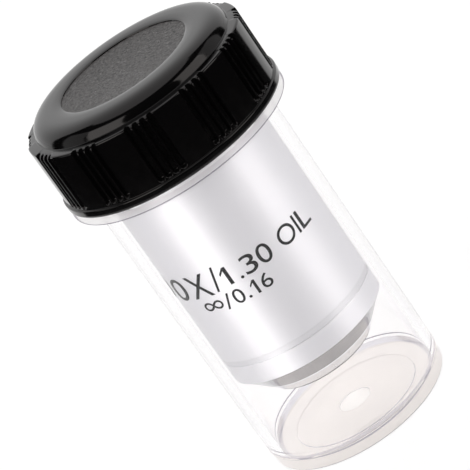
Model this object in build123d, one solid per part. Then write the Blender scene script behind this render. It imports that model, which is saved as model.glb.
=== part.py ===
from build123d import *
import os

# Microscope objective hanging in its storage case: a clear vial below and a black screw cap above.
# Millimetres, +Z up, the vial's foot on z = 0 and the common axis on x = y = 0.

# Objective: standard parfocal length and mount thread, 0.8 inch across
parfocal_length = 44.8
mount_thread_length = 4.6
mount_thread_relief_depth = 0.56
mount_thread_relief = 0.6
mount_thread_chamfer = 0.4
mount_thread_clearance = 0.05
shoulder_width = 1.84

# Objective barrel
barrel_wall = 1.05
spigot_clearance = 0.02
ring_spigot_wall = 1.48
ring_spigot_length = 3.05
groove_width = 0.92
groove_depth = 0.15
cone_rise = 6.75
cone_slope = 1.2
cone_edge_width = 0.11
ring_body_height = 3.08
rear_flange_height = 2.8
rear_skirt_length = 3.65
rear_skirt_room = 0.2
rear_bore_room = 0.1
rear_step_height = 1.2

# Lock screws of the rear mount
lock_screw_radius = 0.8
lock_screw_drop = 1.8
lock_screw_count = 3
lock_screw_sink = 0.05
lock_screw_clearance = 0.02
lock_screw_socket_radius = 0.36
lock_screw_socket_depth = 0.6
lock_screw_root_wall = 0.3
lock_screw_start_deg = 30.0

# Sprung nose
nose_clearance = 0.05
nose_travel = 2.0
nose_travel_room = 1.2
tube_wall = 1.2
tube_rise = 4.8
collar_clearance = 0.2
collar_height = 1.58
collar_gap = 0.02
guide_pin_radius = 0.5
guide_pin_clearance = 0.02
guide_pin_root_depth = 0.4
guide_pin_reach = 0.4
guide_slot_clearance = 0.1
guide_slot_tip_room = 0.15
guide_slot_end_room = 0.3
guide_pin_deg = 90.0

# Return spring and its slip washer
washer_thickness = 0.5
washer_room = 0.2
washer_clearance = 0.05
spring_wire = 0.5
spring_turns = 6
spring_end_gap = 0.05

# Front cell
tip_radius = 2.6
tip_step = 0.3
tip_chamfer = 0.6
nose_edge_inset = 1.4
front_lens_radius = 1.7
front_lens_sink = 0.05
front_lens_land = 0.95
front_spigot_length = 3.0
front_spigot_wall = 2.65
front_bore_length = 2.0
cell_clearance = 0.05
lens_clearance = 0.02
lens_seat_width = 0.4
cement_gap = 0.02

# Stack of cells inside the lens tube
meniscus_cell_height = 3.6
meniscus_seat = 1.0
meniscus_radius = 3.5
meniscus_edge = 1.2
meniscus_hollow = 0.7
meniscus_bulge = 1.1
spacer_wall = 1.15
spacer_front_height = 1.4
doublet_a_height = 4.7
doublet_a_seat = 1.0
doublet_a_radius = 4.6
doublet_a_crown_edge = 1.2
doublet_a_crown_low = 0.9
doublet_a_bulge = 1.1
doublet_a_flint_edge = 1.9
doublet_a_flint_high = 0.3
doublet_b_height = 5.1
doublet_b_seat = 1.0
doublet_b_radius = 5.4
doublet_b_crown_edge = 1.3
doublet_b_crown_low = 0.8
doublet_b_bulge = 1.2
doublet_b_flint_edge = 2.1
doublet_b_flint_high = 0.3
aperture_height = 0.6
aperture_width = 3.95
rear_cell_height = 3.6
rear_seat = 0.9
rear_lens_radius = 5.8
rear_cell_wall = 2.33
rear_lens_edge = 1.5
rear_lens_low = 0.4
rear_lens_high = 0.6
lock_ring_height = 1.6
lock_ring_wall = 1.95
lock_ring_sink = 0.5
lock_ring_slot_width = 1.2
lock_ring_slot_depth = 0.7

# Vial
barrel_room = 0.5
vial_wall = 1.5
vial_floor = 1.5
vial_floor_chamfer = 0.6
tip_room = 6.7
foot_height = 2.05
foot_inset = 0.2
foot_chamfer = 0.25
foot_ring_width = 4.4
foot_recess_depth = 0.35
gate_radius = 2.5
gate_height = 0.2
flange_thickness = 1.3
flange_inset = 0.1
flange_chamfer = 0.25
neck_height = 8.4

# Screw cap
cap_seat_gap = 0.02
neck_thread_room = 0.9
neck_top_room = 0.4
cap_wall = 1.75
cap_rim_proud = 0.3
cap_rim_height = 1.2
cap_rim_chamfer = 0.25
cap_shoulder_chamfer = 0.6
ledge_wall = 1.35
ledge_drop = 2.25
dome_wall = 0.2
dome_edge = 1.9
crown_width = 5.28
disc_depth = 0.2
cap_top_wall = 1.9
boss_room = 0.29
boss_length = 5.3
flute_groups = 12
flutes_per_group = 4
flute_pitch_deg = 3.9
flute_width = 0.85
flute_depth = 0.65
flute_margin = 0.12
flute_front_offset_deg = -99.0

# Radii that follow, from the largest lens outwards
cell_radius = rear_lens_radius + lens_clearance + rear_cell_wall
tube_bore_radius = cell_radius + cell_clearance
tube_radius = tube_bore_radius + tube_wall
ring_bore_radius = tube_radius + nose_clearance
spigot_radius = ring_bore_radius + ring_spigot_wall
barrel_bore_radius = spigot_radius + spigot_clearance
barrel_radius = barrel_bore_radius + barrel_wall
vial_bore_radius = barrel_radius + barrel_room
vial_radius = vial_bore_radius + vial_wall
cap_skirt_inner_radius = vial_radius + neck_thread_room
cap_panel_radius = cap_skirt_inner_radius + cap_wall
cap_rim_radius = cap_panel_radius + cap_rim_proud
flange_radius = cap_rim_radius - flange_inset
dome_radius = cap_skirt_inner_radius + dome_wall
disc_radius = dome_radius - crown_width
mount_thread_radius = barrel_radius - shoulder_width
boss_bore_radius = mount_thread_radius + mount_thread_clearance
boss_radius = vial_bore_radius - boss_room

# Radii of the inner pieces
collar_radius = barrel_bore_radius - collar_clearance
rear_skirt_bore_radius = tube_radius + rear_skirt_room
rear_bore_radius = tube_bore_radius + rear_bore_room
washer_inner_radius = tube_radius + washer_room
washer_radius = barrel_bore_radius - 2 * washer_clearance
spring_mean_radius = (tube_radius + barrel_bore_radius) / 2
nose_edge_radius = tube_radius - nose_edge_inset
guide_pin_root_radius = tube_radius - guide_pin_root_depth
guide_pin_tip_radius = barrel_bore_radius + guide_pin_reach
guide_slot_radius = guide_pin_tip_radius + guide_slot_tip_room
spacer_bore_radius = cell_radius - spacer_wall

# Heights that follow, from the vial's floor upwards
tip_z = vial_floor + tip_room
shoulder_z = tip_z + parfocal_length
boss_ceiling_z = shoulder_z + boss_length
disc_z = boss_ceiling_z + cap_top_wall
cap_top_z = disc_z + disc_depth
ledge_z = cap_top_z - ledge_drop
neck_groove_top = ledge_z - ledge_wall
neck_top_z = neck_groove_top - neck_top_room
flange_top = neck_top_z - neck_height
cap_bottom_z = flange_top + cap_seat_gap
tube_start_z = tip_z + tube_rise
cone_start_z = tip_z + cone_rise
ring_groove_z = cone_start_z + ring_body_height
ring_joint_z = ring_groove_z + groove_width
ring_spigot_top_z = ring_joint_z + ring_spigot_length
rear_joint_z = shoulder_z - rear_flange_height
rear_skirt_z = rear_joint_z - rear_skirt_length
rear_step_z = rear_joint_z - rear_step_height
lock_screw_z = rear_joint_z - lock_screw_drop
tube_end_z = rear_step_z - nose_travel - nose_travel_room
collar_z = ring_spigot_top_z + collar_gap
washer_top_z = rear_skirt_z - washer_clearance
washer_z = washer_top_z - washer_thickness
spring_low_z = collar_z + collar_height + spring_end_gap
spring_high_z = washer_z - spring_end_gap
guide_pin_z = collar_z + collar_height / 2
guide_slot_high_z = guide_pin_z + guide_pin_radius + nose_travel + guide_slot_end_room

# Heights of the stack, whose two long spacers share the room that the cells leave
front_cell_top_z = tube_start_z + front_spigot_length
lock_ring_z = tube_end_z - lock_ring_sink - lock_ring_height
rear_cell_z = lock_ring_z - rear_cell_height
spacer_front_z = front_cell_top_z + meniscus_cell_height
doublet_a_z = spacer_front_z + spacer_front_height
spacer_mid_z = doublet_a_z + doublet_a_height
doublets_and_stop = doublet_b_height + aperture_height
long_spacer_height = (rear_cell_z - spacer_mid_z - doublets_and_stop) / 2
doublet_b_z = spacer_mid_z + long_spacer_height
aperture_z = doublet_b_z + doublet_b_height
spacer_rear_z = aperture_z + aperture_height


def cone_z(radius):
    return cone_start_z - (barrel_radius - radius) * cone_slope


def turned(points):
    # Solid of revolution about Z from its (radius, z) corners.
    return revolve(Plane.XZ * make_face(Polyline(*points, close=True)), Axis.Z)


def ring(inner, outer, low, high):
    return turned([(inner, low), (outer, low), (outer, high), (inner, high)])


def disc(outer, low, high):
    return ring(0, outer, low, high)


def radial_pin(radius, start, end, z, angle):
    pin = Pos(start, 0, z) * Rot(0, 90, 0) * Cylinder(
        radius, end - start, align=(Align.CENTER, Align.CENTER, Align.MIN)
    )
    return Rot(0, 0, angle) * pin


def lens(radius, low_z, edge, low_bulge, high_bulge):
    # Lens about Z, seated on its flat bevel; a positive bulge is convex, a negative one concave.
    face_radius = radius - lens_seat_width
    high_z = low_z + edge
    solid = disc(radius, low_z, high_z)
    for face_z, bulge, out in ((low_z, low_bulge, -1), (high_z, high_bulge, 1)):
        height = abs(bulge)
        ball_radius = (face_radius**2 + height**2) / (2 * height)
        if bulge > 0:
            ball = Pos(0, 0, face_z + out * (height - ball_radius)) * Sphere(ball_radius)
            side = Align.MIN if out > 0 else Align.MAX
            crown = ball & Pos(0, 0, face_z) * Cylinder(
                radius, 2 * height, align=(Align.CENTER, Align.CENTER, side)
            )
            solid = solid + crown
        else:
            solid = solid - Pos(0, 0, face_z + out * (ball_radius - height)) * Sphere(ball_radius)
    return solid


def cell(low, height, lens_radius, seat):
    # Lens cell: a pocket with running room round the lens, and a lip that the lens rests on.
    pocket = lens_radius + lens_clearance
    lip = lens_radius - lens_seat_width
    top = low + height
    return turned(
        [
            (lip, low),
            (cell_radius, low),
            (cell_radius, top),
            (pocket, top),
            (pocket, low + seat),
            (lip, low + seat),
        ]
    )


# Vial, with a recessed underside, a gate mark and a flange that the cap closes on
vial_foot_radius = vial_radius - foot_inset
foot_recess_radius = vial_radius - foot_ring_width
flange_low = flange_top - flange_thickness
vial = turned(
    [
        (0, foot_recess_depth),
        (foot_recess_radius, foot_recess_depth),
        (foot_recess_radius, 0),
        (vial_foot_radius - foot_chamfer, 0),
        (vial_foot_radius, foot_chamfer),
        (vial_foot_radius, foot_height),
        (vial_radius, foot_height),
        (vial_radius, flange_low),
        (flange_radius - flange_chamfer, flange_low),
        (flange_radius, flange_low + flange_chamfer),
        (flange_radius, flange_top - flange_chamfer),
        (flange_radius - flange_chamfer, flange_top),
        (vial_radius, flange_top),
        (vial_radius, neck_top_z),
        (vial_bore_radius, neck_top_z),
        (vial_bore_radius, vial_floor + vial_floor_chamfer),
        (vial_bore_radius - vial_floor_chamfer, vial_floor),
        (0, vial_floor),
    ]
)
vial = vial + disc(gate_radius, foot_recess_depth - gate_height, foot_recess_depth)

# Cap, with a recessed disc on top, the boss for the objective, and grip flutes in groups
# that start above the rim and run out at the ledge
cap_rim_top = cap_bottom_z + cap_rim_height
cap = turned(
    [
        (0, disc_z),
        (disc_radius, disc_z),
        (disc_radius, cap_top_z),
        (dome_radius, cap_top_z),
        (dome_radius, ledge_z),
        (cap_panel_radius - cap_shoulder_chamfer, ledge_z),
        (cap_panel_radius, ledge_z - cap_shoulder_chamfer),
        (cap_panel_radius, cap_rim_top),
        (cap_rim_radius, cap_rim_top),
        (cap_rim_radius, cap_bottom_z + cap_rim_chamfer),
        (cap_rim_radius - cap_rim_chamfer, cap_bottom_z),
        (cap_skirt_inner_radius, cap_bottom_z),
        (cap_skirt_inner_radius, neck_groove_top),
        (boss_radius, neck_groove_top),
        (boss_radius, shoulder_z),
        (boss_bore_radius, shoulder_z),
        (boss_bore_radius, boss_ceiling_z),
        (0, boss_ceiling_z),
    ]
)
crown_rims = cap.edges().filter_by(GeomType.CIRCLE).filter_by_position(
    Axis.Z, cap_top_z - 0.001, cap_top_z + 0.001
)
cap = fillet(crown_rims.sort_by(SortBy.RADIUS)[-1], dome_edge)
flute_low = cap_rim_top + flute_margin
flute_tool = Pos(cap_panel_radius, 0, flute_low) * Box(
    2 * flute_depth,
    flute_width,
    ledge_z + flute_depth - flute_low,
    align=(Align.CENTER, Align.CENTER, Align.MIN),
)
flute_tools = []
for group in range(flute_groups):
    for flute in range(flutes_per_group):
        in_group = (flute - (flutes_per_group - 1) / 2) * flute_pitch_deg
        angle = flute_front_offset_deg + group * 360 / flute_groups + in_group
        flute_tools.append(Rot(0, 0, angle) * flute_tool)
cap = cap - flute_tools

# Outer barrel, a plain sleeve with an inner slot for the nose's guide pin
outer_barrel = ring(barrel_bore_radius, barrel_radius, ring_joint_z, rear_joint_z)
guide_slot = Pos(guide_slot_radius, 0, ring_spigot_top_z) * Box(
    guide_slot_radius,
    2 * (guide_pin_radius + guide_slot_clearance),
    guide_slot_high_z - ring_spigot_top_z,
    align=(Align.MAX, Align.CENTER, Align.MIN),
)
outer_barrel = outer_barrel - Rot(0, 0, guide_pin_deg) * guide_slot
screw_inner = rear_skirt_bore_radius + lock_screw_root_wall
screw_outer = barrel_radius - lock_screw_sink
screw_angles = [
    lock_screw_start_deg + index * 360 / lock_screw_count for index in range(lock_screw_count)
]
screw_holes = [
    radial_pin(
        lock_screw_radius + lock_screw_clearance,
        screw_inner - lock_screw_clearance,
        barrel_radius + lock_screw_radius,
        lock_screw_z,
        angle,
    )
    for angle in screw_angles
]
outer_barrel = outer_barrel - screw_holes

# Front ring, whose cone carries on into the sprung nose
ring_edge_radius = ring_bore_radius + cone_edge_width
groove_radius = barrel_radius - groove_depth
front_cap = turned(
    [
        (ring_bore_radius, cone_z(ring_edge_radius)),
        (ring_edge_radius, cone_z(ring_edge_radius)),
        (barrel_radius, cone_start_z),
        (barrel_radius, ring_groove_z),
        (groove_radius, ring_groove_z),
        (groove_radius, ring_joint_z),
        (spigot_radius, ring_joint_z),
        (spigot_radius, ring_spigot_top_z),
        (ring_bore_radius, ring_spigot_top_z),
    ]
)

# Rear mount, with the standard mount thread on its spigot
relief_radius = mount_thread_radius - mount_thread_relief_depth
mount_end_z = shoulder_z + mount_thread_length
rear_mount = turned(
    [
        (rear_skirt_bore_radius, rear_skirt_z),
        (spigot_radius, rear_skirt_z),
        (spigot_radius, rear_joint_z),
        (barrel_radius, rear_joint_z),
        (barrel_radius, shoulder_z),
        (relief_radius, shoulder_z),
        (relief_radius, shoulder_z + mount_thread_relief),
        (mount_thread_radius, shoulder_z + mount_thread_relief),
        (mount_thread_radius, mount_end_z - mount_thread_chamfer),
        (mount_thread_radius - mount_thread_chamfer, mount_end_z),
        (rear_bore_radius, mount_end_z),
        (rear_bore_radius, rear_step_z),
        (rear_skirt_bore_radius, rear_step_z),
    ]
)
rear_mount = rear_mount - screw_holes

# Lock screws between barrel and rear mount
socket_start = screw_outer - lock_screw_socket_depth
screws = []
for angle in screw_angles:
    screw = radial_pin(lock_screw_radius, screw_inner, screw_outer, lock_screw_z, angle)
    socket = radial_pin(lock_screw_socket_radius, socket_start, barrel_radius, lock_screw_z, angle)
    screws.append(screw - socket)
lock_screws = Compound(children=screws)

# Slip washer and return spring
spring_washer = ring(washer_inner_radius, washer_radius, washer_z, washer_top_z)
wire_rise = spring_high_z - spring_low_z - spring_wire
spring_path = Helix(
    pitch=wire_rise / spring_turns,
    height=wire_rise,
    radius=spring_mean_radius,
    center=(0, 0, spring_low_z + spring_wire / 2),
)
wire_plane = Plane(origin=spring_path @ 0, x_dir=(1, 0, 0), z_dir=spring_path % 0)
spring = sweep(wire_plane * Rectangle(spring_wire, spring_wire), path=spring_path, is_frenet=True)

# Lens tube with the stop collar and the guide pin
collar_top_z = collar_z + collar_height
lens_tube = turned(
    [
        (tube_bore_radius, tube_start_z),
        (tube_radius, tube_start_z),
        (tube_radius, collar_z),
        (collar_radius, collar_z),
        (collar_radius, collar_top_z),
        (tube_radius, collar_top_z),
        (tube_radius, tube_end_z),
        (tube_bore_radius, tube_end_z),
    ]
)
lens_tube = lens_tube - radial_pin(
    guide_pin_radius + guide_pin_clearance,
    guide_pin_root_radius - guide_pin_clearance,
    barrel_radius,
    guide_pin_z,
    guide_pin_deg,
)
guide_pin = radial_pin(
    guide_pin_radius, guide_pin_root_radius, guide_pin_tip_radius, guide_pin_z, guide_pin_deg
)

# Front cell, the bright end of the nose, and the front lens in its tip
front_cell_bore = front_lens_radius + lens_clearance
front_bore_radius = cell_radius - front_spigot_wall
front_lens_z = tip_z + front_lens_sink
front_cell = turned(
    [
        (front_cell_bore, tip_z),
        (tip_radius, tip_z),
        (tip_radius + tip_chamfer, tip_z + tip_step),
        (nose_edge_radius, cone_z(nose_edge_radius)),
        (tube_radius, cone_z(tube_radius)),
        (tube_radius, tube_start_z),
        (cell_radius, tube_start_z),
        (cell_radius, front_cell_top_z),
        (front_bore_radius, front_cell_top_z),
        (front_bore_radius, front_cell_top_z - front_bore_length),
        (front_cell_bore, front_lens_z + front_lens_land),
    ]
)
front_lens = Pos(0, 0, front_lens_z) * Sphere(front_lens_radius) & disc(
    front_lens_radius, front_lens_z, front_lens_z + front_lens_radius
)

# Meniscus and front spacer
meniscus_cell = cell(front_cell_top_z, meniscus_cell_height, meniscus_radius, meniscus_seat)
meniscus_lens = lens(
    meniscus_radius, front_cell_top_z + meniscus_seat, meniscus_edge, -meniscus_hollow, meniscus_bulge
)
spacer_front = ring(spacer_bore_radius, cell_radius, spacer_front_z, doublet_a_z)

# First doublet: crown below, flint above, with the cement between them
doublet_a_cell = cell(doublet_a_z, doublet_a_height, doublet_a_radius, doublet_a_seat)
crown_a_z = doublet_a_z + doublet_a_seat
flint_a_z = crown_a_z + doublet_a_crown_edge + cement_gap
doublet_a_crown = lens(
    doublet_a_radius, crown_a_z, doublet_a_crown_edge, doublet_a_crown_low, doublet_a_bulge
)
doublet_a_flint = lens(
    doublet_a_radius, flint_a_z, doublet_a_flint_edge, -doublet_a_bulge, doublet_a_flint_high
)
spacer_mid = ring(spacer_bore_radius, cell_radius, spacer_mid_z, doublet_b_z)

# Second doublet
doublet_b_cell = cell(doublet_b_z, doublet_b_height, doublet_b_radius, doublet_b_seat)
crown_b_z = doublet_b_z + doublet_b_seat
flint_b_z = crown_b_z + doublet_b_crown_edge + cement_gap
doublet_b_crown = lens(
    doublet_b_radius, crown_b_z, doublet_b_crown_edge, doublet_b_crown_low, doublet_b_bulge
)
doublet_b_flint = lens(
    doublet_b_radius, flint_b_z, doublet_b_flint_edge, -doublet_b_bulge, doublet_b_flint_high
)

# Aperture stop and rear spacer
aperture_stop = ring(cell_radius - aperture_width, cell_radius, aperture_z, spacer_rear_z)
spacer_rear = ring(spacer_bore_radius, cell_radius, spacer_rear_z, rear_cell_z)

# Rear lens in its cell
rear_cell = cell(rear_cell_z, rear_cell_height, rear_lens_radius, rear_seat)
rear_lens = lens(
    rear_lens_radius, rear_cell_z + rear_seat, rear_lens_edge, rear_lens_low, rear_lens_high
)

# Lock ring that holds the stack, with two spanner slots
lock_ring_top = lock_ring_z + lock_ring_height
cell_lock_ring = ring(cell_radius - lock_ring_wall, cell_radius, lock_ring_z, lock_ring_top)
spanner_slot = Pos(0, 0, lock_ring_top) * Box(
    2 * tube_radius, lock_ring_slot_width, 2 * lock_ring_slot_depth
)
cell_lock_ring = cell_lock_ring - spanner_slot

nodes = {
    "vial": vial,
    "cap": cap,
    "outer_barrel": outer_barrel,
    "front_cap": front_cap,
    "rear_mount": rear_mount,
    "lock_screws": lock_screws,
    "spring": spring,
    "spring_washer": spring_washer,
    "lens_tube": lens_tube,
    "guide_pin": guide_pin,
    "front_cell": front_cell,
    "front_lens": front_lens,
    "meniscus_cell": meniscus_cell,
    "meniscus_lens": meniscus_lens,
    "spacer_front": spacer_front,
    "doublet_a_cell": doublet_a_cell,
    "doublet_a_crown": doublet_a_crown,
    "doublet_a_flint": doublet_a_flint,
    "spacer_mid": spacer_mid,
    "doublet_b_cell": doublet_b_cell,
    "doublet_b_crown": doublet_b_crown,
    "doublet_b_flint": doublet_b_flint,
    "aperture_stop": aperture_stop,
    "spacer_rear": spacer_rear,
    "rear_cell": rear_cell,
    "rear_lens": rear_lens,
    "cell_lock_ring": cell_lock_ring,
}

os.makedirs("parts", exist_ok=True)
for name, shape in nodes.items():
    export_step(shape, f"parts/{name}.step")
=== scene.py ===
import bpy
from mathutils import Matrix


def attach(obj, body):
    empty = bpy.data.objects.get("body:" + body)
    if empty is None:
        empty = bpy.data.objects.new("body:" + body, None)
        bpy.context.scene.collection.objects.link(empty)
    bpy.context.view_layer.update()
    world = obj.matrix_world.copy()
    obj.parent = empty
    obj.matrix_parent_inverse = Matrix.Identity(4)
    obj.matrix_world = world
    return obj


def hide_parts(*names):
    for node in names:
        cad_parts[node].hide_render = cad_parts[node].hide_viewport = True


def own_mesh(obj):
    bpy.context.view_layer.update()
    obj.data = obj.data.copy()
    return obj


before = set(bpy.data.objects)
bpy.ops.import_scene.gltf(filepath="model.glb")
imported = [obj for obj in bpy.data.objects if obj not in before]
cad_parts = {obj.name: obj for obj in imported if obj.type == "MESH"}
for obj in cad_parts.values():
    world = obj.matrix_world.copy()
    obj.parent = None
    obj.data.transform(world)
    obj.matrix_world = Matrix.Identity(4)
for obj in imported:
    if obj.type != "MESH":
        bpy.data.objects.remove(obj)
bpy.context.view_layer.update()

import math

import bmesh
import bpy
from mathutils import Quaternion, Vector

MM = 0.001
TURN = 2 * math.pi
# Two sizes in mm closer than this are the same
SAME = 1e-4

# Sizes in mm follow the CAD, apart from small roundings, the crown's curve and the disc,
# which lies 0.1 mm lower. First the vial
VIAL_R = 14.0
VIAL_BORE_R = 12.5
VIAL_FLOOR = 1.5
FOOT_R = 13.8
FOOT_TOP = 2.05
FOOT_RECESS_R = 9.6
FOOT_RECESS = 0.35
GATE_R = 2.5
GATE_DEPTH = 0.2
FLANGE_R = 16.85
FLANGE_LOW = 46.7
FLANGE_TOP = 48.0
FLANGE_ROUND = 0.25
CORNER_ROUND = 0.6
NECK_TOP = 56.4

# Threads of the neck and the cap, which the CAD leaves out
THREAD_PITCH = 3.0
THREAD_RISE = 0.55
THREAD_FADE_TURNS = 0.12
THREAD_FLANK = 0.55
NECK_THREAD_LOW = 49.6
NECK_THREAD_TURNS = 1.6
NECK_THREAD_HALF = 0.75
NECK_ROW_STEP = 0.1
CAP_THREAD_TURNS = 1.1
CAP_THREAD_HALF = 0.7
SKIRT_ROW_STEP = 0.21
SKIRT_ROWS = 34

# Cap
CAP_LOW = 48.02
CAP_RIM_TOP = 49.22
CAP_RIM_R = 16.95
PANEL_R = 16.65
LEDGE_Z = 58.15
SHOULDER_ROUND = 0.3
CAP_TOP = 60.4
DOME_R = 15.2
DOME_BASE_Z = 58.3
DOME_DRAFT = 0.15
DISC_R = 9.82
DISC_Z = 60.1
SKIRT_R = 14.9
NECK_GROOVE_TOP = 56.8
BOSS_R = 12.21
BOSS_BORE_R = 10.21
BOSS_CEILING = 58.3
SHOULDER_Z = 53.0

# The crown's curve over the cap, with a shallow dip and a small lip round the disc
CROWN_R = 11.4
CROWN_LOW = 57.4
CROWN_POWER = 3
CROWN_DIP = 0.14
CROWN_STEPS = 24
CROWN_INNER_STEPS = [0, 0.05, 0.1, 0.15, 0.2, 0.25, 0.32, 0.4, 0.6, 0.8, 1.0, 1.2, 1.4]
LIP_DIP = 0.04
LIP_WIDTH = 0.4

# Grip flutes, with the places across one flute and down a panel that the mesh needs
FLUTE_GROUPS = 12
FLUTES_IN_GROUP = 4
FLUTE_PITCH = math.radians(3.9)
FLUTE_FRONT = math.radians(-99.0)
FLUTE_LOW = 49.34
FLUTE_FLOOR_HALF = 0.22
FLUTE_HALF_WIDTH = 0.53
FLUTE_DEPTH = 0.65
FLUTE_STEPS = [-0.52, -0.46, -0.40, -0.33, -0.26, 0, 0.26, 0.33, 0.40, 0.46, 0.52]
PANEL_STEPS = 7
PANEL_ROWS = [57.8, 57.72, 57.64, 57.56, 57.48, 57.4, 57.0, 56.0, 54.5, 53.0, 51.0]
FLUTE_END_ROWS = 9
FLUTE_END_STEP = 0.09
RIB_ROUND = 0.75

# Objective
BARREL_R = 12.0
BARREL_BORE_R = 10.95
REAR_JOINT_Z = 50.2
RING_JOINT_Z = 18.95
RING_GROOVE_Z = 18.03
GROOVE_R = 11.85
CONE_Z = 14.95
CONE_SLOPE = 1.2
RING_BORE_R = 9.45
RING_EDGE_R = 9.56
SPIGOT_R = 10.93
SPIGOT_TOP_Z = 22.0
TUBE_R = 9.4
TUBE_START_Z = 13.0
NOSE_EDGE_R = 8.0
NOSE_EDGE_WIDTH = 0.16
CELL_R = 8.15
CELL_TOP_Z = 16.0
CELL_BORE_R = 5.5
CELL_FLOOR_Z = 14.0
TIP_R = 2.6
TIP_Z = 8.2
TIP_BORE_R = 1.72

# Angles round a plain turned piece
ROUND_STEPS = 256
# Edges sharper than this stay sharp in the shading
SHARP_ANGLE = math.radians(32)
# A face longer than the room next to a rounding gets one more point, this far from it
SUPPORT_GAP = 0.12
SUPPORT_ROOM = 0.7


# Meshes of revolution

def rounded(corners, steps=5):
    """Points of an outline in the (radius, z) plane from its corners (radius, z, rounding).

    A point just beside each rounding keeps the long faces next to it shaded flat.
    """
    line = []
    for i, (radius, z, size) in enumerate(corners):
        here = Vector((radius, z))
        if not size:
            line.append((radius, z))
            continue
        back = Vector(corners[i - 1][:2]) - here
        ahead = Vector(corners[(i + 1) % len(corners)][:2]) - here
        room = (back.length, ahead.length)
        back, ahead = back.normalized(), ahead.normalized()
        half = back.angle(ahead) / 2
        reach = size / math.tan(half)
        centre = here + (back + ahead).normalized() * (size / math.sin(half))
        first = here + back * reach - centre
        last = here + ahead * reach - centre
        if room[0] > reach + SUPPORT_ROOM:
            line.append(tuple(here + back * (reach + SUPPORT_GAP)))
        start = math.atan2(first.y, first.x)
        sweep = (math.atan2(last.y, last.x) - start + math.pi) % TURN - math.pi
        for k in range(steps + 1):
            angle = start + sweep * k / steps
            line.append((centre.x + size * math.cos(angle), centre.y + size * math.sin(angle)))
        if room[1] > reach + SUPPORT_ROOM:
            line.append(tuple(here + ahead * (reach + SUPPORT_GAP)))
    return line


def even(count):
    return [TURN * k / count for k in range(count)]


def lathe(name, line, angles, radius_at=None, open_line=False):
    """Object turned about Z from an outline in mm; radius_at(radius, z, angle) can carve it."""
    verts, rows, faces = [], [], []
    for radius, z in line:
        if radius < SAME:
            verts.append((0, 0, z * MM))
            rows.append([len(verts) - 1] * len(angles))
            continue
        row = []
        for angle in angles:
            r = (radius_at(radius, z, angle) if radius_at else radius) * MM
            verts.append((r * math.cos(angle), r * math.sin(angle), z * MM))
            row.append(len(verts) - 1)
        rows.append(row)
    pairs = list(zip(rows, rows[1:]))
    if not open_line:
        pairs.append((rows[-1], rows[0]))
    count = len(angles)
    for low, high in pairs:
        if low[0] == low[1] and high[0] == high[1]:
            continue
        for k in range(count):
            n = (k + 1) % count
            if low[k] == low[n]:
                faces.append((low[k], high[n], high[k]))
            elif high[k] == high[n]:
                faces.append((low[k], low[n], high[k]))
            else:
                faces.append((low[k], low[n], high[n], high[k]))
    mesh = bpy.data.meshes.new(name)
    mesh.from_pydata(verts, [], faces)
    bm = bmesh.new()
    bm.from_mesh(mesh)
    bmesh.ops.recalc_face_normals(bm, faces=bm.faces)
    bm.to_mesh(mesh)
    bm.free()
    mesh.shade_smooth()
    mesh.set_sharp_from_angle(angle=SHARP_ANGLE)
    return link_object(name, mesh)


def link_object(name, data):
    obj = bpy.data.objects.new(name, data)
    bpy.context.scene.collection.objects.link(obj)
    return obj


def ease(value):
    value = min(max(value, 0.0), 1.0)
    return value * value * (3 - 2 * value)


def thread_height(z, angle, low, turns, half_width):
    """Height of a helical ridge above its cylinder at that place, faded at both ends."""
    best = 0.0
    for k in range(-1, int(turns) + 2):
        along = angle / TURN + k
        if not 0 <= along <= turns:
            continue
        fade = ease(along / THREAD_FADE_TURNS) * ease((turns - along) / THREAD_FADE_TURNS)
        off = abs(z - low - along * THREAD_PITCH) / half_width
        if off < 1:
            best = max(best, THREAD_RISE * fade * ease((1 - off) / THREAD_FLANK))
    return best


def paint(obj, mats, slot_at=None):
    """Adds the materials; slot_at(radius, z, flat), in mm, picks one for each face."""
    for mat in mats:
        obj.data.materials.append(mat)
    if not slot_at:
        return
    for face in obj.data.polygons:
        centre = face.center / MM
        radius = math.hypot(centre.x, centre.y)
        face.material_index = slot_at(radius, centre.z, abs(face.normal.z) > 0.7)


def place(obj, body, slot, *nodes):
    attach(obj, body)
    if nodes:
        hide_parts(*nodes)


# Materials: the share of the noise that a value or a colour runs over, and how much
# the marks of satin finishing and of turning are stretched per axis

VALUE_SPAN = (0.3, 0.7)
COLOR_SPAN = (0.35, 0.65)
SATIN_MARKS = (0.3, 0.3, 12)
TURNED_MARKS = (0.2, 0.2, 25)
EVEN_MARKS = (1, 1, 1)


def material(name, color, **inputs):
    mat = bpy.data.materials.new(name)
    mat.use_nodes = True
    shader = shader_of(mat)
    shader.inputs["Base Color"].default_value = (*color, 1)
    for key, value in inputs.items():
        shader.inputs[key.replace("_", " ")].default_value = value
    return mat


def shader_of(mat):
    return mat.node_tree.nodes["Principled BSDF"]


def add_node(mat, kind, **inputs):
    node = mat.node_tree.nodes.new(kind)
    for key, value in inputs.items():
        node.inputs[key].default_value = value
    return node


def link(mat, out, into):
    mat.node_tree.links.new(out, into)


def noise_of(mat, size, detail, stretch):
    """Noise of about that size in mm, fixed to the object and stretched per axis."""
    noise = add_node(mat, "ShaderNodeTexNoise", Scale=1 / (size * MM), Detail=detail)
    coordinates = add_node(mat, "ShaderNodeTexCoord")
    mapping = add_node(mat, "ShaderNodeMapping", Scale=stretch)
    link(mat, coordinates.outputs["Object"], mapping.inputs["Vector"])
    link(mat, mapping.outputs["Vector"], noise.inputs["Vector"])
    return noise.outputs["Fac"]


def color_ramp(mat, stops):
    """Ramp through two stops (position, colour)."""
    ramp = add_node(mat, "ShaderNodeValToRGB")
    for element, (position, color) in zip(ramp.color_ramp.elements, stops):
        element.position = position
        element.color = (*color, 1)
    link(mat, ramp.outputs["Color"], shader_of(mat).inputs["Base Color"])
    return ramp.inputs["Fac"]


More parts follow.
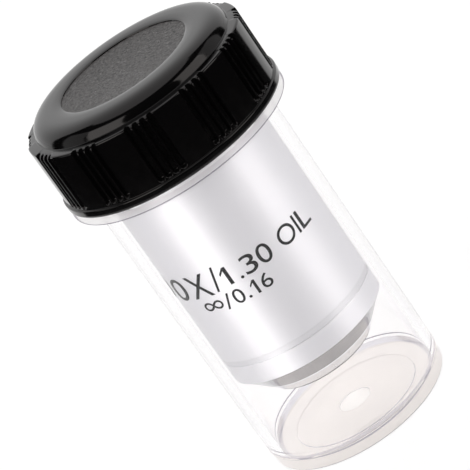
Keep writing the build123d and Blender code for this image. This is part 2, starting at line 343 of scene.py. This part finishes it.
def grain(mat, size, height, strength, stretch=EVEN_MARKS):
    """Bump from noise of about that size, with its height in mm."""
    bump = add_node(mat, "ShaderNodeBump", Strength=strength, Distance=height * MM)
    link(mat, noise_of(mat, size, 2.0, stretch), bump.inputs["Height"])
    link(mat, bump.outputs["Normal"], shader_of(mat).inputs["Normal"])


def vary(mat, socket, size, low, high, stretch=EVEN_MARKS):
    """Varies a value between low and high by noise of about that size in mm."""
    span = add_node(mat, "ShaderNodeMapRange")
    span.inputs["From Min"].default_value = VALUE_SPAN[0]
    span.inputs["From Max"].default_value = VALUE_SPAN[1]
    span.inputs["To Min"].default_value = low
    span.inputs["To Max"].default_value = high
    link(mat, noise_of(mat, size, 3.0, stretch), span.inputs["Value"])
    link(mat, span.outputs["Result"], shader_of(mat).inputs[socket])


def tint(mat, size, dark, light, stretch=EVEN_MARKS):
    """Varies the base colour between two colours by noise of about that size in mm."""
    ramp = color_ramp(mat, [(COLOR_SPAN[0], dark), (COLOR_SPAN[1], light)])
    link(mat, noise_of(mat, size, 3.0, stretch), ramp)


def edge_tint(mat, start, face_on, grazing):
    """Blends the base colour from face_on to grazing where the surface turns away."""
    weight = add_node(mat, "ShaderNodeLayerWeight", Blend=0.5)
    link(mat, weight.outputs["Facing"], color_ramp(mat, [(start, face_on), (1, grazing)]))


def moulded(name, color, clearness):
    """Plastic for the vial's foot, gate and flange, and for the painted shade of its edge lines and
    inner corner, which lets that share of the light through.
    """
    mat = material(name, color, Transmission_Weight=clearness, IOR=1.0)
    tint(mat, 4.0, [0.985 * c for c in color], [1.015 * c for c in color])
    vary(mat, "Roughness", 2.0, 0.3, 0.5)
    return mat


def satin(name, level):
    """Satin chrome whose fine marks run round the axis; level is its brightness."""
    mat = material(
        name, (level, level, level), Metallic=1.0, Anisotropic=0.8, Anisotropic_Rotation=0.25
    )
    dark = (0.98 * level, 0.975 * level, 1.01 * level)
    light = (level, 0.995 * level, 1.03 * level)
    tint(mat, 3.0, dark, light, SATIN_MARKS)
    vary(mat, "Roughness", 3.0, 0.47, 0.50, SATIN_MARKS)
    grain(mat, 2.0, 0.001, 0.06, TURNED_MARKS)
    return mat


clear_plastic = material("clear_plastic", (0.99, 0.985, 0.987), Transmission_Weight=1.0, IOR=1.3)
edge_tint(clear_plastic, 0.6, (0.99, 0.982, 0.985), (0.88, 0.86, 0.90))
vary(clear_plastic, "Roughness", 6.0, 0.01, 0.03)
# Beige underside of the foot: partly its own frosted tint, partly painted shade of the floor under
# the objective seen through it
foot_frost_and_shade = moulded("foot_frost_and_shade", (0.775, 0.735, 0.71), 0.5)
# Darker lilac round the inner floor's corner: painted shade in the crease
corner_shade_plastic = moulded("corner_shade_plastic", (0.68, 0.66, 0.71), 0.7)
# Dark lilac lines on the foot's lower edge and step, the recess wall and under the flange: painted
# shade lines
shade_line_plastic = moulded("shade_line_plastic", (0.28, 0.26, 0.31), 0.7)
gate_plastic = moulded("gate_plastic", (0.93, 0.91, 0.89), 0.3)
flange_plastic = moulded("flange_plastic", (0.96, 0.95, 0.955), 0.8)

CAP_SHEEN = (1, 0.955, 0.95, 1)
cap_gloss = material(
    "cap_gloss", (0.003, 0.0028, 0.003), Specular_IOR_Level=0.36, Specular_Tint=CAP_SHEEN
)
vary(cap_gloss, "Roughness", 1.5, 0.09, 0.13)
grain(cap_gloss, 1.2, 0.002, 0.2)

cap_grain = material("cap_grain", (0.02, 0.016, 0.015), Specular_Tint=CAP_SHEEN)
tint(cap_grain, 0.32, (0.004, 0.003, 0.003), (0.05, 0.043, 0.041))
vary(cap_grain, "Specular IOR Level", 0.32, 0.05, 0.34)
vary(cap_grain, "Roughness", 0.4, 0.25, 0.4)
grain(cap_grain, 0.35, 0.10, 1.0)

satin_chrome = satin("satin_chrome", 0.80)
# Darker satin in the groove above the front ring: painted shade in the recess
shaded_groove_chrome = satin("shaded_groove_chrome", 0.73)

# Polished steel of the cone, its base colour darkened as painted shade: the shaded floor under the
# objective that it reflects
ring_steel = material("ring_steel", (0.48, 0.485, 0.50), Metallic=1.0)
tint(ring_steel, 3.0, (0.465, 0.47, 0.485), (0.495, 0.50, 0.515))
vary(ring_steel, "Roughness", 1.0, 0.13, 0.18)
grain(ring_steel, 2.0, 0.0015, 0.15, TURNED_MARKS)

# Dark steel on the nose's cone edge: a painted shade line
shade_edge_steel = material("shade_edge_steel", (0.10, 0.10, 0.105), Metallic=1.0)
tint(shade_edge_steel, 1.0, (0.09, 0.09, 0.095), (0.12, 0.12, 0.125))
vary(shade_edge_steel, "Roughness", 1.0, 0.3, 0.4)

nose_chrome = material("nose_chrome", (0.90, 0.91, 0.93), Metallic=1.0)
tint(nose_chrome, 3.0, (0.89, 0.90, 0.92), (0.92, 0.93, 0.95))
vary(nose_chrome, "Roughness", 1.0, 0.22, 0.28)
grain(nose_chrome, 2.0, 0.0015, 0.15, TURNED_MARKS)

ink = material("marking_ink", (0.004, 0.004, 0.005), Specular_IOR_Level=0.12)
tint(ink, 0.2, (0.003, 0.003, 0.004), (0.006, 0.006, 0.007))
vary(ink, "Roughness", 0.2, 0.45, 0.6)

brass = material("turned_brass", (0.72, 0.56, 0.27), Metallic=1.0)
tint(brass, 2.0, (0.68, 0.52, 0.24), (0.75, 0.60, 0.31))
vary(brass, "Roughness", 1.0, 0.22, 0.32)
grain(brass, 2.0, 0.002, 0.2, TURNED_MARKS)

steel = material("turned_steel", (0.45, 0.45, 0.46), Metallic=1.0)
tint(steel, 1.0, (0.42, 0.42, 0.43), (0.48, 0.48, 0.49))
vary(steel, "Roughness", 0.5, 0.25, 0.35)
grain(steel, 0.5, 0.001, 0.2)

anodised = material("black_anodised", (0.02, 0.02, 0.022), Metallic=0.4)
tint(anodised, 1.0, (0.016, 0.016, 0.018), (0.026, 0.026, 0.03))
vary(anodised, "Roughness", 0.5, 0.45, 0.6)
grain(anodised, 0.4, 0.002, 0.2)

lens_glass = material(
    "lens_glass", (0.93, 0.97, 0.95), Transmission_Weight=1.0, Roughness=0.0, IOR=1.52
)
grain(lens_glass, 8.0, 0.001, 0.05)

flint_glass = material(
    "flint_glass", (0.95, 0.95, 0.90), Transmission_Weight=1.0, Roughness=0.0, IOR=1.65
)
grain(flint_glass, 8.0, 0.001, 0.05)


# CAD nodes that stay and only get their material
node_materials = {
    "rear_mount": satin_chrome,
    "lock_screws": steel,
    "spring": steel,
    "spring_washer": brass,
    "lens_tube": brass,
    "guide_pin": steel,
    "front_lens": lens_glass,
    "meniscus_cell": anodised,
    "meniscus_lens": lens_glass,
    "spacer_front": anodised,
    "doublet_a_cell": anodised,
    "doublet_a_crown": lens_glass,
    "doublet_a_flint": flint_glass,
    "spacer_mid": anodised,
    "doublet_b_cell": anodised,
    "doublet_b_crown": lens_glass,
    "doublet_b_flint": flint_glass,
    "aperture_stop": anodised,
    "spacer_rear": anodised,
    "rear_cell": anodised,
    "rear_lens": lens_glass,
    "cell_lock_ring": brass,
}
for node_name, mat in node_materials.items():
    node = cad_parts[node_name]
    node.data.materials.clear()
    node.data.materials.append(mat)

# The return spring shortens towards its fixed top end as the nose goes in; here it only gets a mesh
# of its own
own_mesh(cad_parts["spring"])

# Vial, with its neck thread. The points cut off the ends of each rounded run only steer
# the roundings next to them
neck_first = NECK_TOP - 0.3
neck_count = int((neck_first - FLANGE_TOP - 0.2) / NECK_ROW_STEP)
neck_rows = [neck_first - NECK_ROW_STEP * k for k in range(neck_count)]
vial_line = rounded(
    [
        (0, FOOT_RECESS - GATE_DEPTH, 0),
        (GATE_R, FOOT_RECESS - GATE_DEPTH, 0.08),
        (GATE_R, FOOT_RECESS, 0.08),
        (FOOT_RECESS_R, FOOT_RECESS, 0.12),
        (FOOT_RECESS_R, 0, 0.12),
        (FOOT_R, 0, 0.25),
        (FOOT_R, FOOT_TOP, 0.06),
        (VIAL_R, FOOT_TOP, 0.12),
        (VIAL_R, FLANGE_LOW, 0.2),
        (FLANGE_R, FLANGE_LOW, FLANGE_ROUND),
        (FLANGE_R, FLANGE_TOP, FLANGE_ROUND),
        (VIAL_R, FLANGE_TOP, 0.1),
        (VIAL_R, neck_rows[-1], 0),
    ]
)[:-2] + [(VIAL_R, z) for z in reversed(neck_rows)] + rounded(
    [
        (VIAL_R, FLANGE_TOP, 0),
        (VIAL_R, NECK_TOP, 0.25),
        (VIAL_BORE_R, NECK_TOP, 0.25),
        (VIAL_BORE_R, VIAL_FLOOR, CORNER_ROUND),
        (0, VIAL_FLOOR, 0),
    ]
)[2:]
CLEAR, UNDERSIDE, SHADED_CORNER, SHADE_LINE, GATE, FLANGE = range(6)
# Height of the painted shade line on the foot's lower edge, and the room left where faces meet
FOOT_SHADE_LINE = 0.14
MARGIN = 0.05


def neck_radius(radius, z, angle):
    if abs(radius - VIAL_R) > SAME or z < FLANGE_TOP + 0.2:
        return radius
    return radius + thread_height(
        z, angle, NECK_THREAD_LOW, NECK_THREAD_TURNS, NECK_THREAD_HALF
    )


def vial_slot(radius, z, flat):
    """Which of its plastics, or of the painted shade on its edge lines and inner corner, a face of
    the vial gets.
    """
    if radius > VIAL_R + 0.15 and z > FLANGE_LOW - MARGIN:
        on_edge = radius > FLANGE_R - FLANGE_ROUND and z < FLANGE_LOW + FLANGE_ROUND
        return SHADE_LINE if on_edge else FLANGE
    if z < FOOT_RECESS + 0.02 and radius < FOOT_R - 0.2:
        if radius < GATE_R - MARGIN:
            return GATE
        return UNDERSIDE if flat else SHADE_LINE
    if radius > FOOT_R - 0.2 and z < FOOT_SHADE_LINE:
        return SHADE_LINE
    if radius > FOOT_R - MARGIN and abs(z - FOOT_TOP) < 2 * MARGIN:
        return SHADE_LINE
    inner_corner = VIAL_BORE_R - CORNER_ROUND - MARGIN < radius < VIAL_BORE_R + MARGIN
    return SHADED_CORNER if inner_corner and VIAL_FLOOR < z < VIAL_FLOOR + CORNER_ROUND else CLEAR


vial = lathe("vial_clear", vial_line, even(ROUND_STEPS), neck_radius, open_line=True)
vial_plastics = [
    clear_plastic, foot_frost_and_shade, corner_shade_plastic, shade_line_plastic, gate_plastic, flange_plastic
]
paint(vial, vial_plastics, vial_slot)
vial.visible_shadow = False
place(vial, "vial", "clear_plastic", "vial")

# Cap, with grouped grip flutes, a grained disc and its inner thread
crown_line = []
for across in CROWN_INNER_STEPS:
    slope = CROWN_DIP * (1 - across / (CROWN_R - DISC_R)) ** 2
    lip = LIP_DIP * max(1 - across / LIP_WIDTH, 0) ** 2
    crown_line.append((DISC_R + across, CAP_TOP - slope - lip))
for k in range(CROWN_STEPS):
    bend = math.pi / 2 * k / CROWN_STEPS
    across = math.sin(bend) ** (2 / CROWN_POWER)
    z = CROWN_LOW + (CAP_TOP - CROWN_LOW) * math.cos(bend) ** (2 / CROWN_POWER)
    if z > DOME_BASE_Z + 0.15:
        draft = DOME_DRAFT * (CAP_TOP - z) / (CAP_TOP - DOME_BASE_Z)
        crown_line.append((CROWN_R + (DOME_R - DOME_DRAFT - CROWN_R) * across + draft, z))
flute_end_rows = [FLUTE_LOW + FLUTE_END_STEP * k for k in reversed(range(FLUTE_END_ROWS))]
skirt_rows = [CAP_LOW + 0.3 + SKIRT_ROW_STEP * k for k in range(SKIRT_ROWS)]
cap_line = (
    [(0, DISC_Z), (DISC_R - 0.12, DISC_Z), (DISC_R - 0.04, DISC_Z + 0.01)]
    + crown_line
    + rounded(
        [
            (*crown_line[-1], 0),
            (DOME_R, DOME_BASE_Z, 0.1),
            (PANEL_R, LEDGE_Z, SHOULDER_ROUND),
            (PANEL_R, CAP_RIM_TOP, 0),
        ],
        6,
    )[1:-2]
    + [(PANEL_R, z) for z in PANEL_ROWS + flute_end_rows]
    + rounded(
        [
            (PANEL_R, FLUTE_LOW, 0),
            (PANEL_R, CAP_RIM_TOP, 0.08),
            (CAP_RIM_R, CAP_RIM_TOP, 0.22),
            (CAP_RIM_R, CAP_LOW, 0.3),
            (SKIRT_R, CAP_LOW, 0.1),
            (SKIRT_R, NECK_GROOVE_TOP, 0),
        ]
    )[1:-1]
    + [(SKIRT_R, z) for z in skirt_rows]
    + rounded(
        [
            (SKIRT_R, CAP_LOW, 0),
            (SKIRT_R, NECK_GROOVE_TOP, 0.15),
            (BOSS_R, NECK_GROOVE_TOP, 0.15),
            (BOSS_R, SHOULDER_Z, 0.15),
            (BOSS_BORE_R, SHOULDER_Z, 0.1),
            (BOSS_BORE_R, BOSS_CEILING, 0),
            (0, BOSS_CEILING, 0),
        ],
        3,
    )[1:]
)
flute_middles = [FLUTE_PITCH * (k - (FLUTES_IN_GROUP - 1) / 2) for k in range(FLUTES_IN_GROUP)]
cap_angles = []
for group in range(FLUTE_GROUPS):
    start = FLUTE_FRONT + TURN * group / FLUTE_GROUPS
    for middle in flute_middles:
        cap_angles += [start + middle + step / PANEL_R for step in FLUTE_STEPS]
    half_group = cap_angles[-1] - start
    gap = TURN / FLUTE_GROUPS - 2 * half_group
    cap_angles += [start + half_group + gap * k / PANEL_STEPS for k in range(1, PANEL_STEPS)]


def group_turn(angle):
    """Angle from the middle of the nearest group of flutes."""
    half = TURN / FLUTE_GROUPS / 2
    return (angle - FLUTE_FRONT + half) % (TURN / FLUTE_GROUPS) - half


def flute_depth(z, angle):
    """Depth of the grip flutes at that place: rounded ribs between flat floors."""
    turn = group_turn(angle)
    across = min(abs(turn - middle) for middle in flute_middles) * PANEL_R
    beyond = max(FLUTE_LOW + FLUTE_HALF_WIDTH - z, 0)
    off = math.hypot(across, beyond)
    return FLUTE_DEPTH * ease((FLUTE_HALF_WIDTH - off) / (FLUTE_HALF_WIDTH - FLUTE_FLOOR_HALF))


def rib_drop(z, angle):
    """How far the ribs between the flutes of a group curve in near the ledge."""
    above = z - LEDGE_Z + RIB_ROUND
    if above <= 0 or abs(group_turn(angle)) > flute_middles[-1]:
        return 0
    return RIB_ROUND - math.sqrt(max(RIB_ROUND**2 - above**2, 0))


def cap_radius(radius, z, angle):
    """The cap's thread lies half a pitch above the neck's."""
    if abs(radius - SKIRT_R) < SAME:
        low = NECK_THREAD_LOW + THREAD_PITCH / 2
        return radius - thread_height(z, angle % TURN, low, CAP_THREAD_TURNS, CAP_THREAD_HALF)
    if radius < PANEL_R - FLUTE_DEPTH or z < FLUTE_LOW:
        return radius
    return min(radius, PANEL_R - max(flute_depth(z, angle), rib_drop(z, angle)))


def cap_slot(radius, z, flat):
    return 1 if z > DISC_Z - MARGIN and radius < DISC_R - MARGIN else 0


cap = lathe("cap_black", cap_line, cap_angles, cap_radius, open_line=True)
paint(cap, [cap_gloss, cap_grain], cap_slot)
place(cap, "cap_assembly", "cap_plastic", "cap")

# Outer barrel
barrel = lathe(
    "barrel_satin",
    rounded(
        [
            (BARREL_R, RING_JOINT_Z, 0.08),
            (BARREL_R, REAR_JOINT_Z, 0.08),
            (BARREL_BORE_R, REAR_JOINT_Z, 0.05),
            (BARREL_BORE_R, RING_JOINT_Z, 0.05),
        ]
    ),
    even(ROUND_STEPS),
)
paint(barrel, [satin_chrome])
place(barrel, "cap_assembly", "satin_chrome", "outer_barrel")


# Front ring: satin cylinder, a groove above it and a polished cone below

def cone_z(radius):
    return CONE_Z - (BARREL_R - radius) * CONE_SLOPE


def ring_slot(radius, z, flat):
    if z < CONE_Z - 0.03:
        return 1
    return 2 if z > RING_GROOVE_Z - MARGIN else 0


front_ring = lathe(
    "front_ring",
    rounded(
        [
            (RING_BORE_R, cone_z(RING_EDGE_R), 0),
            (RING_EDGE_R, cone_z(RING_EDGE_R), 0),
            (BARREL_R, CONE_Z, 0.12),
            (BARREL_R, RING_GROOVE_Z, 0.08),
            (GROOVE_R, RING_GROOVE_Z, 0.04),
            (GROOVE_R, RING_JOINT_Z, 0),
            (SPIGOT_R, RING_JOINT_Z, 0),
            (SPIGOT_R, SPIGOT_TOP_Z, 0.1),
            (RING_BORE_R, SPIGOT_TOP_Z, 0.1),
        ]
    ),
    even(ROUND_STEPS),
)
paint(front_ring, [satin_chrome, ring_steel, shaded_groove_chrome], ring_slot)
place(front_ring, "cap_assembly", "ring_steel", "front_cap")


# Nose: the sprung front cell, with a painted shade line round its cone's edge

def nose_slot(radius, z, flat):
    return 1 if abs(radius - NOSE_EDGE_R) < 0.14 else 0


nose = lathe(
    "nose_cell",
    rounded(
        [
            (TIP_BORE_R, TIP_Z, 0),
            (TIP_R, TIP_Z, 0.08),
            (TIP_R + 0.6, TIP_Z + 0.3, 0.1),
            (NOSE_EDGE_R, cone_z(NOSE_EDGE_R), 0.1),
            (NOSE_EDGE_R + NOSE_EDGE_WIDTH, cone_z(NOSE_EDGE_R + NOSE_EDGE_WIDTH), 0),
            (TUBE_R, cone_z(TUBE_R), 0.06),
            (TUBE_R, TUBE_START_Z, 0),
            (CELL_R, TUBE_START_Z, 0),
            (CELL_R, CELL_TOP_Z, 0.1),
            (CELL_BORE_R, CELL_TOP_Z, 0),
            (CELL_BORE_R, CELL_FLOOR_Z, 0),
            (TIP_BORE_R, TIP_Z + 1.0, 0),
        ]
    ),
    even(ROUND_STEPS),
)
paint(nose, [nose_chrome, shade_edge_steel], nose_slot)
place(nose, "nose", "nose_chrome", "front_cell")


# Marking on the barrel: plain generic figures, wrapped round the cylinder

# Strokes are thickened by this share of the letters' size
STROKE_GROWTH = 0.002
GLYPH_STRIPS = 8
INK_LIFT = 0.012
# Low and high z of the large figures and of the two rows
LARGE = (30.0, 33.7)
ROW_1 = (30.38, 33.2)
ROW_2 = (27.37, 29.57)


def one_mesh():
    """Flat mesh of the figure 1, a stem with a flag, from 0 to 1 in x and y."""
    stem, flag, low = 0.56, 0.72, 0.68
    points = [(stem, 0), (1, 0), (1, 1), (stem + 0.06, 1), (0, flag), (0, low - 0.09), (stem, 0.82)]
    mesh = bpy.data.meshes.new("one")
    mesh.from_pydata([(x, y, 0) for x, y in points], [], [range(len(points))])
    return mesh


def glyph_mesh(text):
    """Flat mesh of one character, scaled to run from 0 to 1 in x and y."""
    if text == "1":
        return one_mesh()
    curve = bpy.data.curves.new("glyph", "FONT")
    curve.body = text
    curve.offset = 0 if text in "∞/" else STROKE_GROWTH
    curve.resolution_u = 8
    obj = link_object("glyph", curve)
    bpy.context.view_layer.update()
    shaped = obj.evaluated_get(bpy.context.evaluated_depsgraph_get())
    mesh = bpy.data.meshes.new_from_object(shaped)
    bpy.data.objects.remove(obj)
    xs = [v.co.x for v in mesh.vertices]
    ys = [v.co.y for v in mesh.vertices]
    for v in mesh.vertices:
        v.co.x = (v.co.x - min(xs)) / (max(xs) - min(xs))
        v.co.y = (v.co.y - min(ys)) / (max(ys) - min(ys))
    return mesh


def marking(name, glyphs):
    """Ink figures on the barrel from (character, start degree, end degree, low z, high z)."""
    whole = bmesh.new()
    for text, start, end, low, high in glyphs:
        mesh = glyph_mesh(text)
        part = bmesh.new()
        part.from_mesh(mesh)
        for k in range(1, GLYPH_STRIPS):
            geom = part.verts[:] + part.edges[:] + part.faces[:]
            cut = (k / GLYPH_STRIPS, 0, 0)
            bmesh.ops.bisect_plane(part, geom=geom, plane_co=cut, plane_no=(1, 0, 0))
        for v in part.verts:
            angle = math.radians(start + (end - start) * v.co.x)
            radius = (BARREL_R + INK_LIFT) * MM
            z = (low + (high - low) * v.co.y) * MM
            v.co = (radius * math.sin(angle), -radius * math.cos(angle), z)
        part.to_mesh(mesh)
        part.free()
        whole.from_mesh(mesh)
        bpy.data.meshes.remove(mesh)
    made = bpy.data.meshes.new(name)
    whole.to_mesh(made)
    whole.free()
    obj = link_object(name, made)
    paint(obj, [ink])
    place(obj, "cap_assembly", "satin_chrome")


marking(
    "marking_power",
    [
        ("1", -97.0, -92.0, *LARGE),
        ("0", -86.5, -71.6, *LARGE),
        ("0", -67.6, -54.8, *LARGE),
        ("X", -51.8, -35.6, *LARGE),
        ("/", -33.4, -27.2, LARGE[0] + 0.15, LARGE[1] + 0.25),
        ("1", -25.8, -20.1, *ROW_1),
        (".", -14.9, -12.7, ROW_1[0], ROW_1[0] + 0.45),
        ("3", -10.6, -1.2, *ROW_1),
        ("0", 0.6, 10.2, *ROW_1),
        ("O", 17.2, 30.7, *ROW_1),
        ("I", 32.6, 34.4, *ROW_1),
        ("L", 36.2, 46.0, *ROW_1),
    ],
)
marking(
    "marking_cover",
    [
        ("∞", -49.4, -34.9, ROW_2[0] + 0.35, ROW_2[1] - 0.45),
        ("/", -34.0, -28.2, ROW_2[0] - 0.2, ROW_2[1]),
        ("0", -26.7, -19.3, ROW_2[0] - 0.05, ROW_2[1]),
        (".", -17.6, -15.5, ROW_2[0], ROW_2[0] + 0.42),
        ("1", -13.5, -9.2, *ROW_2),
        ("6", -6.4, 0.7, *ROW_2),
    ],
)


# Floor and world: white for what is seen, softer for what they light

FLOOR_GREY = 0.6
FLOOR_GLOW = 0.62
FLOOR_HALF = 3
FLOOR_DROP = 0.02
WORLD_LIGHT = 0.35


def seen_directly(tree):
    """1 for camera, glossy and transmission rays, else 0."""
    path = tree.nodes.new("ShaderNodeLightPath")
    total = path.outputs["Is Camera Ray"]
    for ray in ("Is Glossy Ray", "Is Transmission Ray"):
        add = tree.nodes.new("ShaderNodeMath")
        add.operation = "MAXIMUM"
        tree.links.new(total, add.inputs[0])
        tree.links.new(path.outputs[ray], add.inputs[1])
        total = add.outputs[0]
    return total


floor_mat = bpy.data.materials.new("floor_white")
floor_mat.use_nodes = True
floor_mat.node_tree.nodes.clear()
output = add_node(floor_mat, "ShaderNodeOutputMaterial")
diffuse = add_node(
    floor_mat, "ShaderNodeBsdfDiffuse", Color=(FLOOR_GREY, FLOOR_GREY, FLOOR_GREY, 1)
)
glow = add_node(floor_mat, "ShaderNodeEmission", Color=(1, 1, 1, 1))
both = add_node(floor_mat, "ShaderNodeAddShader")
level = add_node(floor_mat, "ShaderNodeMath")
level.operation = "MULTIPLY"
level.inputs[1].default_value = FLOOR_GLOW
link(floor_mat, seen_directly(floor_mat.node_tree), level.inputs[0])
link(floor_mat, level.outputs[0], glow.inputs["Strength"])
link(floor_mat, diffuse.outputs[0], both.inputs[0])
link(floor_mat, glow.outputs[0], both.inputs[1])
link(floor_mat, both.outputs[0], output.inputs["Surface"])
floor_mesh = bpy.data.meshes.new("floor")
corners = [(-1, -1), (1, -1), (1, 1), (-1, 1)]
floor_points = [(x * FLOOR_HALF, y * FLOOR_HALF, 0) for x, y in corners]
floor_mesh.from_pydata(floor_points, [], [(0, 1, 2, 3)])
floor = link_object("floor", floor_mesh)
floor.location.z = -FLOOR_DROP * MM
paint(floor, [floor_mat])

world = bpy.data.worlds.new("studio")
bpy.context.scene.world = world
world.use_nodes = True
tree = world.node_tree
background = tree.nodes["Background"]
background.inputs["Color"].default_value = (1, 1, 1, 1)
strength = tree.nodes.new("ShaderNodeMapRange")
strength.inputs["To Min"].default_value = WORLD_LIGHT
strength.inputs["To Max"].default_value = 1.0
tree.links.new(seen_directly(tree), strength.inputs["Value"])
tree.links.new(strength.outputs["Result"], background.inputs["Strength"])


# Lamps

LAMP_AIM = Vector((0, 0, 0.035))
WARM = (1.0, 0.985, 0.955)
PALE_WARM = (1.0, 0.99, 0.98)
WHITE = (1.0, 1.0, 1.0)


def direction(azimuth, elevation):
    """Unit vector in degrees: azimuth 0 is on the camera's side and 90 on its right."""
    a, e = math.radians(azimuth), math.radians(elevation)
    return Vector((math.sin(a) * math.cos(e), -math.cos(a) * math.cos(e), math.sin(e)))


def softbox(name, azimuth, elevation, distance, width, height, level, color):
    """Area lamp aimed at the object, from that distance in metres."""
    lamp = bpy.data.lights.new(name, "AREA")
    lamp.shape = "RECTANGLE"
    lamp.size, lamp.size_y = width, height
    lamp.energy = level * math.pi * width * height
    lamp.color = color
    obj = link_object(name, lamp)
    towards = direction(azimuth, elevation)
    obj.location = LAMP_AIM + towards * distance
    obj.rotation_mode = "QUATERNION"
    obj.rotation_quaternion = towards.to_track_quat("Z", "Y")
    return obj


softbox("lamp_left", -53, 20, 0.6, 0.43, 0.46, 1.95, WARM)
softbox("lamp_right", 58, 20, 0.6, 0.40, 0.46, 1.7, WARM)
softbox("lamp_far_left", -92, 20, 0.6, 0.30, 0.46, 0.5, WHITE)
softbox("lamp_far_right", 94, 20, 0.6, 0.33, 0.46, 0.55, WHITE)
softbox("lamp_back", 190, 42, 1.0, 1.2, 0.7, 1.0, PALE_WARM).visible_glossy = False


# Unlit side of the studio, round the front and behind the lamps, which only gloss shows.
# It starts on the floor near the object and ends high up; distances are in metres

WALL_START = 0.135
WALL_DISTANCE = 1.6
WALL_SPREAD = 124
WALL_TOP = 60
WALL_COLUMNS = 32
WALL_ROWS = 10
WALL_LIFT = Vector((0, 0, 0.0005))
wall_points, wall_faces = [], []
for row in range(-1, WALL_ROWS + 1):
    reach = WALL_DISTANCE if row >= 0 else WALL_START
    elevation = WALL_TOP * max(row, 0) / WALL_ROWS
    for column in range(WALL_COLUMNS + 1):
        azimuth = WALL_SPREAD * (2 * column / WALL_COLUMNS - 1)
        wall_points.append(direction(azimuth, elevation) * reach + WALL_LIFT)
for row in range(WALL_ROWS + 1):
    for column in range(WALL_COLUMNS):
        k = row * (WALL_COLUMNS + 1) + column
        wall_faces.append((k, k + 1, k + WALL_COLUMNS + 2, k + WALL_COLUMNS + 1))
wall_mesh = bpy.data.meshes.new("studio_wall")
wall_mesh.from_pydata(wall_points, [], wall_faces)
wall = link_object("studio_wall", wall_mesh)
studio_dark = material(
    "studio_dark", (0.003, 0.003, 0.003), Roughness=1.0, Specular_IOR_Level=0.0
)
paint(wall, [studio_dark])
wall.visible_camera = False
wall.visible_diffuse = False
wall.visible_transmission = False
wall.visible_shadow = False


# Camera: above the front, turned so that the object leans to the left

CAMERA_TARGET = Vector((-0.62, 0, 31.35)) * MM
CAMERA_DISTANCE = 0.3829
CAMERA_ELEVATION = math.radians(21.56)
CAMERA_ROLL = math.radians(-34.9)
CAMERA_LENS = 215.7
CAMERA_SENSOR = 36
camera_data = bpy.data.cameras.new("camera")
camera_data.sensor_width = CAMERA_SENSOR
camera_data.lens = CAMERA_LENS
camera_data.clip_start = 0.01
camera_data.clip_end = 20
camera = link_object("camera", camera_data)
ahead = Vector((0, math.cos(CAMERA_ELEVATION), -math.sin(CAMERA_ELEVATION)))
camera.location = CAMERA_TARGET - ahead * CAMERA_DISTANCE
camera.rotation_mode = "QUATERNION"
camera.rotation_quaternion = ahead.to_track_quat("-Z", "Y") @ Quaternion((0, 0, 1), CAMERA_ROLL)
bpy.context.scene.camera = camera
bpy.context.scene.view_settings.view_transform = "Standard"
